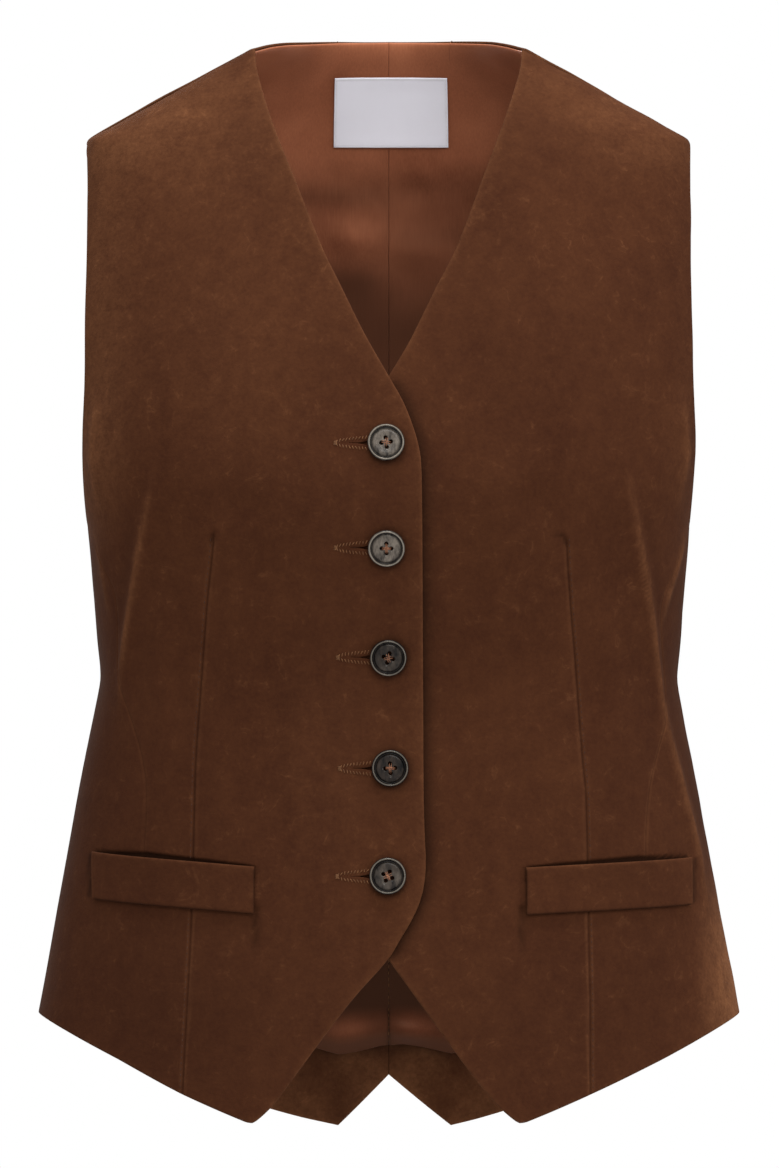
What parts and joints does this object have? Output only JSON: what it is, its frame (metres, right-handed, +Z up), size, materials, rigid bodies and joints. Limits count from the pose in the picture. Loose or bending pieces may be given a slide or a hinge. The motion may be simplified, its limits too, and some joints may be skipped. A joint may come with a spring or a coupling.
{
  "type": "waistcoat",
  "caption": "Collarless hip-length suede waistcoat, buttoned and filled out, with a V neck, slanted welt pockets, pointed front and back hems and a satin back lining",
  "frame": {"origin": "at the base of the neck on the middle plane, level with the neck ends of the shoulder seams and under the shoulder line", "axes": "+Z up, the front faces -Y, the wearer's left is +X"},
  "size_m": [0.3856, 0.2246, 0.6073],
  "materials": {
    "suede": "brushed brown suede with a short uneven nap",
    "satin": "copper-brown satin lining with a soft sheen",
    "horn": "polished mottled horn",
    "woven_label": "plain white woven label"
  },
  "bodies": {
    "root": {"front_right": "suede", "front_left": "suede", "back_right": "suede", "back_left": "suede", "back_facing_right": "suede", "back_facing_left": "suede", "back_lining_right": "satin", "back_lining_left": "satin", "welt_right": "suede", "welt_left": "suede", "button_1": "horn", "button_2": "horn", "button_3": "horn", "button_4": "horn", "button_5": "horn", "label": "woven_label"}
  },
  "joints": []
}
